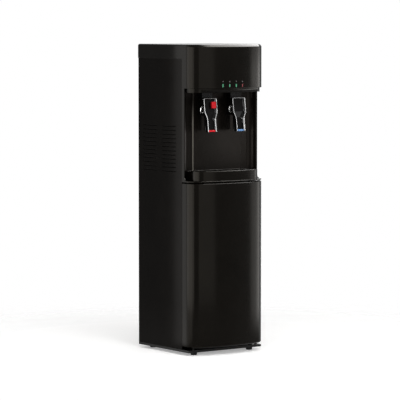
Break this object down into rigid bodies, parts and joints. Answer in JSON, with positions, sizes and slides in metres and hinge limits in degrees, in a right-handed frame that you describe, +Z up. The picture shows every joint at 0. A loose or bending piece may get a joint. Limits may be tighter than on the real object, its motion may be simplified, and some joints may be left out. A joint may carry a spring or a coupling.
{
  "type": "bottleless water cooler",
  "caption": "Floor-standing plumbed water cooler with hot and cold paddle taps over a drip tray, indicator lamps, hinged lower door, tanks, filters and cooling circuit inside.",
  "frame": {"origin": "centre of the footprint's bounding box on the floor", "axes": "+Z up, front faces -Y, +X to the viewer's right when facing the front"},
  "size_m": [0.304, 0.34, 1.04],
  "materials": {
    "black_coated_steel": "satin",
    "black_plastic": "satin gloss",
    "bay_plastic": "satin",
    "paddle_plastic": "gloss",
    "bright_trim": "polished",
    "hot_red": "gloss",
    "cold_blue": "gloss",
    "lens_green": "translucent",
    "lens_red": "translucent",
    "board_green": "satin",
    "zinc_steel": "zinc plated",
    "stainless": "satin",
    "spring_steel": "bright",
    "magnet_strip": "matt",
    "grey_foam": "matt foam",
    "copper": "drawn tube",
    "heater_metal": "mica and steel",
    "white_plastic": "satin",
    "tubing": "translucent",
    "compressor_black": "gloss",
    "rubber_black": "matt",
    "condenser_black": "satin",
    "switch_black": "satin",
    "rocker_red": "satin",
    "rocker_green": "satin"
  },
  "bodies": {
    "cabinet": {"base_tray": "black_coated_steel", "levelling_feet": "rubber_black", "left_side_panel": "black_coated_steel", "right_side_panel": "black_coated_steel", "rear_panel": "black_coated_steel", "top_cover": "black_plastic", "front_fascia": "black_plastic", "bay_liner": "bay_plastic", "tap_panel": "bay_plastic", "hinge_pins": "zinc_steel", "lower_hinge_bracket": "zinc_steel", "green_lenses": "lens_green", "red_lens": "lens_red", "indicator_board": "board_green", "hot_tap_body": "paddle_plastic", "cold_tap_body": "paddle_plastic", "paddle_pivot_pins": "zinc_steel", "hot_valve_spring": "spring_steel", "cold_valve_spring": "spring_steel", "tap_back_nuts": "white_plastic", "cold_tank": "stainless", "evaporator_coil": "copper", "cold_insulation": "grey_foam", "hot_tank": "stainless", "heater_band": "heater_metal", "hot_insulation": "grey_foam", "tank_shelf": "zinc_steel", "bay_partition": "zinc_steel", "filter_manifold": "white_plastic", "inlet_fitting": "white_plastic", "solenoid_valve": "white_plastic", "water_lines": "tubing", "compressor": "compressor_black", "compressor_grommets": "rubber_black", "condenser": "condenser_black", "condenser_wires": "condenser_black", "refrigerant_lines": "copper", "power_inlet": "switch_black", "drain_outlet": "white_plastic", "cabinet_screws": "zinc_steel"},
    "door": {"door_skin": "black_plastic", "door_inner_panel": "bay_plastic", "door_magnet": "magnet_strip"},
    "tray": {"drip_tray": "black_plastic"},
    "grid": {"drip_grid": "black_plastic"},
    "hot_lever": {"hot_paddle": "paddle_plastic", "hot_paddle_trim": "bright_trim", "hot_paddle_tip": "hot_red"},
    "cold_lever": {"cold_paddle": "paddle_plastic", "cold_paddle_trim": "bright_trim", "cold_paddle_tip": "cold_blue"},
    "hot_plunger": {"hot_valve_plunger": "white_plastic"},
    "cold_plunger": {"cold_valve_plunger": "white_plastic"},
    "hot_lock": {"hot_lock_button": "hot_red"},
    "sediment_cartridge": {"sediment_filter": "white_plastic"},
    "carbon_cartridge": {"carbon_filter": "white_plastic"},
    "polishing_cartridge": {"polishing_filter": "white_plastic"},
    "hot_rocker": {"hot_switch_rocker": "rocker_red"},
    "cold_rocker": {"cold_switch_rocker": "rocker_green"},
    "drain_closure": {"drain_cap": "switch_black"}
  },
  "joints": [
    {"name": "door_hinge", "type": "hinge", "parent": "cabinet", "child": "door", "pos_m": [0.1465, -0.096, 0.3], "axis": [0, 0, 1], "range_deg": [0, 95]},
    {"name": "tray_slide", "type": "slide", "parent": "cabinet", "child": "tray", "axis": [0, -1, 0], "range_m": [0, 0.08]},
    {"name": "grid_lift", "type": "slide", "parent": "tray", "child": "grid", "axis": [0, 0, 1], "range_m": [0, 0.03]},
    {"name": "hot_lever_pivot", "type": "hinge", "parent": "cabinet", "child": "hot_lever", "pos_m": [-0.0594, -0.11, 0.822], "axis": [1, 0, 0], "range_deg": [0, 9], "stiffness_Nm_per_rad": 0.9, "springref_deg": -6.88},
    {"name": "hot_valve_stroke", "type": "slide", "parent": "cabinet", "child": "hot_plunger", "axis": [0, 1, 0], "range_m": [0, 0.0019], "deforming": ["hot_valve_spring"]},
    {"name": "cold_lever_pivot", "type": "hinge", "parent": "cabinet", "child": "cold_lever", "pos_m": [0.0594, -0.11, 0.822], "axis": [1, 0, 0], "range_deg": [0, 9], "stiffness_Nm_per_rad": 0.9, "springref_deg": -6.88},
    {"name": "cold_valve_stroke", "type": "slide", "parent": "cabinet", "child": "cold_plunger", "axis": [0, 1, 0], "range_m": [0, 0.0019], "deforming": ["cold_valve_spring"]},
    {"name": "hot_lock_press", "type": "slide", "parent": "hot_lever", "child": "hot_lock", "axis": [0, 0.9917, -0.1288], "range_m": [0, 0.003], "stiffness_N_per_m": 400, "springref_m": -0.002},
    {"name": "sediment_quarter_turn", "type": "hinge", "parent": "cabinet", "child": "sediment_cartridge", "pos_m": [-0.102, -0.03, 0.47], "axis": [0, 0, 1], "range_deg": [0, 90]},
    {"name": "carbon_quarter_turn", "type": "hinge", "parent": "cabinet", "child": "carbon_cartridge", "pos_m": [-0.018, -0.03, 0.47], "axis": [0, 0, 1], "range_deg": [0, 90]},
    {"name": "polishing_quarter_turn", "type": "hinge", "parent": "cabinet", "child": "polishing_cartridge", "pos_m": [0.066, -0.03, 0.47], "axis": [0, 0, 1], "range_deg": [0, 90]},
    {"name": "hot_rocker_tilt", "type": "hinge", "parent": "cabinet", "child": "hot_rocker", "pos_m": [-0.075, 0.142, 0.946], "axis": [-1, 0, 0], "range_deg": [0, 16]},
    {"name": "cold_rocker_tilt", "type": "hinge", "parent": "cabinet", "child": "cold_rocker", "pos_m": [-0.045, 0.142, 0.946], "axis": [-1, 0, 0], "range_deg": [0, 16]},
    {"name": "drain_cap_turn", "type": "hinge", "parent": "cabinet", "child": "drain_closure", "pos_m": [-0.08359, 0.154, 0.262], "axis": [0, 1, 0], "range_deg": [0, 90]}
  ],
  "couplings": [
    {"joint": "hot_valve_stroke", "follows": "hot_lever_pivot", "m_per_rad": 0.010823},
    {"joint": "cold_valve_stroke", "follows": "cold_lever_pivot", "m_per_rad": 0.010823}
  ]
}
